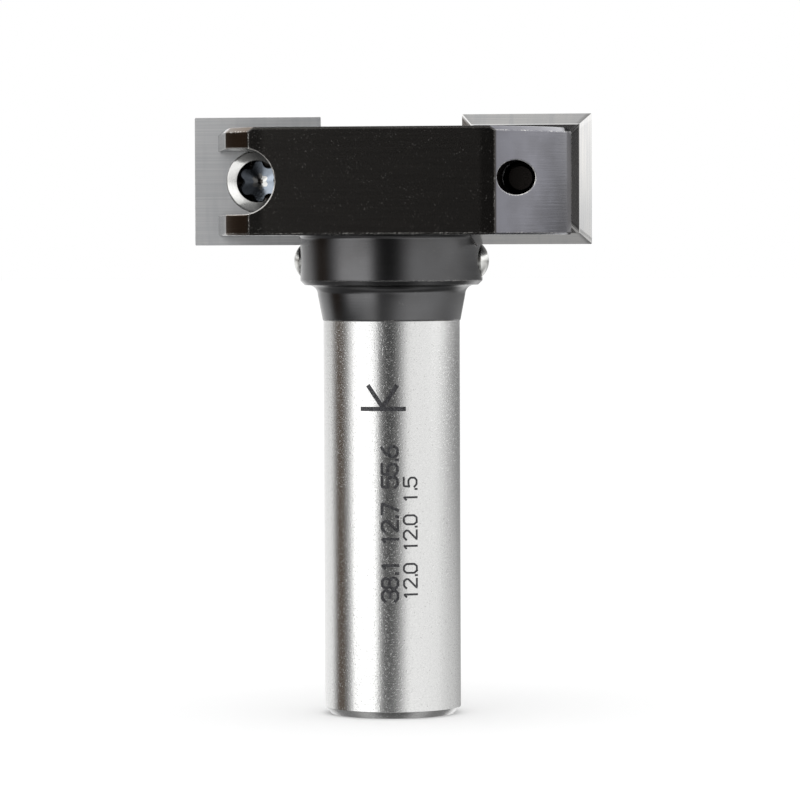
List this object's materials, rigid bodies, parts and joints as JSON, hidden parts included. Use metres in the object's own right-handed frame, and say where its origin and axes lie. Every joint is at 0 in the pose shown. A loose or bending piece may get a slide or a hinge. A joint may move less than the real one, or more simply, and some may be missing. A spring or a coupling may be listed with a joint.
{
  "type": "surfacing router bit",
  "caption": "Router bit for flattening large surfaces: straight shank, black cutter head, square carbide inserts held by countersunk screws.",
  "frame": {"origin": "centre of the shank's end face, which is the bottom of the standing tool", "axes": "+Z along the tool's axis from the shank's end to the cutting end, +X parallel to the inserts' cutting faces, +Y across the two flats of the head"},
  "size_m": [0.0378, 0.0272, 0.0556],
  "materials": {
    "body_steel": "turned and milled steel, black oxide on the head, collar and neck, shank ground bright",
    "carbide": "fine-ground tungsten carbide",
    "screw_steel": "bright screw steel",
    "pin_steel": "polished pin steel"
  },
  "bodies": {
    "root": {"cutter_body": "body_steel", "insert_left": "carbide", "insert_right": "carbide", "insert_screw_left": "screw_steel", "insert_screw_right": "screw_steel", "cross_pin": "pin_steel"}
  },
  "joints": []
}
